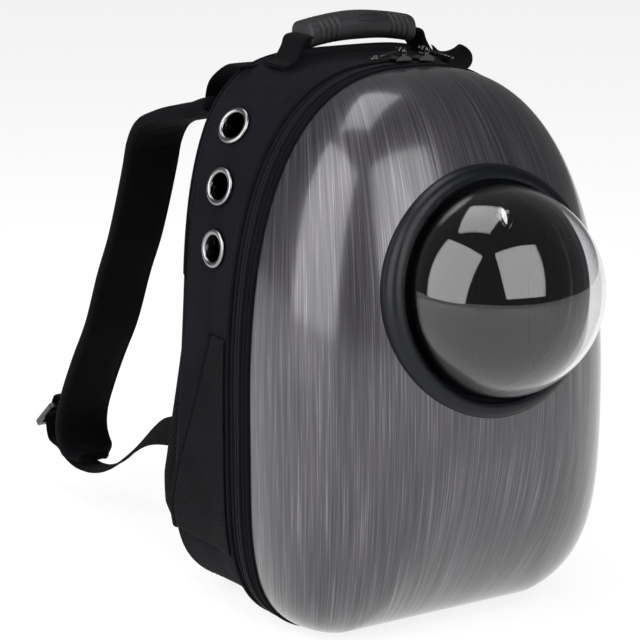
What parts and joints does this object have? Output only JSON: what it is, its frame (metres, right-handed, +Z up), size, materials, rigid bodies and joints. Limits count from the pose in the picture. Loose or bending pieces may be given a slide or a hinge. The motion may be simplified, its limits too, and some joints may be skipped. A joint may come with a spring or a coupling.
{
  "type": "pet_carrier_backpack",
  "caption": "Backpack for carrying a small pet: hard brushed-grey front shell with a clear domed window, zipped black cloth bag, padded straps and a carrying handle.",
  "frame": {"origin": "centre of the flat underside that the carrier stands on", "axes": "+Z up, -Y towards the front shell and its window, +X to the right seen from the front"},
  "size_m": [0.2846, 0.6049, 0.4406],
  "materials": {
    "shell": "glossy moulded shell with a printed brushed-metal pattern of fine vertical streaks",
    "window_ring": "black satin moulding",
    "dome": "clear polished acrylic",
    "cloth": "black woven polyester",
    "piping": "black woven edge binding",
    "zip_tape": "black zip tape with a nylon coil",
    "back_pad_mesh": "black air mesh over foam",
    "pocket_mesh": "fine black mesh",
    "strap": "black padded cloth with bound edges",
    "webbing": "black woven nylon webbing",
    "grip": "dark grey moulded rubber",
    "buckle": "black plastic with a slight shine",
    "zip_hardware": "glossy black coating over metal",
    "grommet": "bright nickel-plated steel"
  },
  "bodies": {
    "carrier": {"front_shell": "shell", "window_ring": "window_ring", "window_dome": "dome", "rim_piping": "piping", "zip_band": "zip_tape", "seam_piping": "piping", "gusset_top": "cloth", "gusset_base": "cloth", "gusset_left": "cloth", "gusset_right": "cloth", "bag_back": "cloth", "back_pad": "back_pad_mesh", "handle_grip": "grip", "grommet_left_1": "grommet", "grommet_left_2": "grommet", "grommet_left_3": "grommet", "shoulder_strap_left": "strap", "load_lifter_left": "webbing", "adjuster_webbing_left": "webbing", "strap_buckle_left": "buckle", "buckle_tab_left": "webbing", "handle_webbing_left": "webbing", "zip_slider_left": "zip_hardware", "side_pocket_left": "pocket_mesh", "pocket_binding_left": "piping", "grommet_right_1": "grommet", "grommet_right_2": "grommet", "grommet_right_3": "grommet", "shoulder_strap_right": "strap", "load_lifter_right": "webbing", "adjuster_webbing_right": "webbing", "strap_buckle_right": "buckle", "buckle_tab_right": "webbing", "handle_webbing_right": "webbing", "zip_slider_right": "zip_hardware", "side_pocket_right": "pocket_mesh", "pocket_binding_right": "piping"},
    "pull_left": {"zip_pull_left": "zip_hardware"},
    "pull_right": {"zip_pull_right": "zip_hardware"}
  },
  "joints": [
    {"name": "pull_left_pin", "type": "hinge", "parent": "carrier", "child": "pull_left", "pos_m": [0.0005, -0.0484, 0.4174], "axis": [0, 1, 0], "range_deg": [0, 110]},
    {"name": "pull_right_pin", "type": "hinge", "parent": "carrier", "child": "pull_right", "pos_m": [0.0205, -0.0484, 0.41643], "axis": [0, -1, 0], "range_deg": [0, 110]}
  ]
}
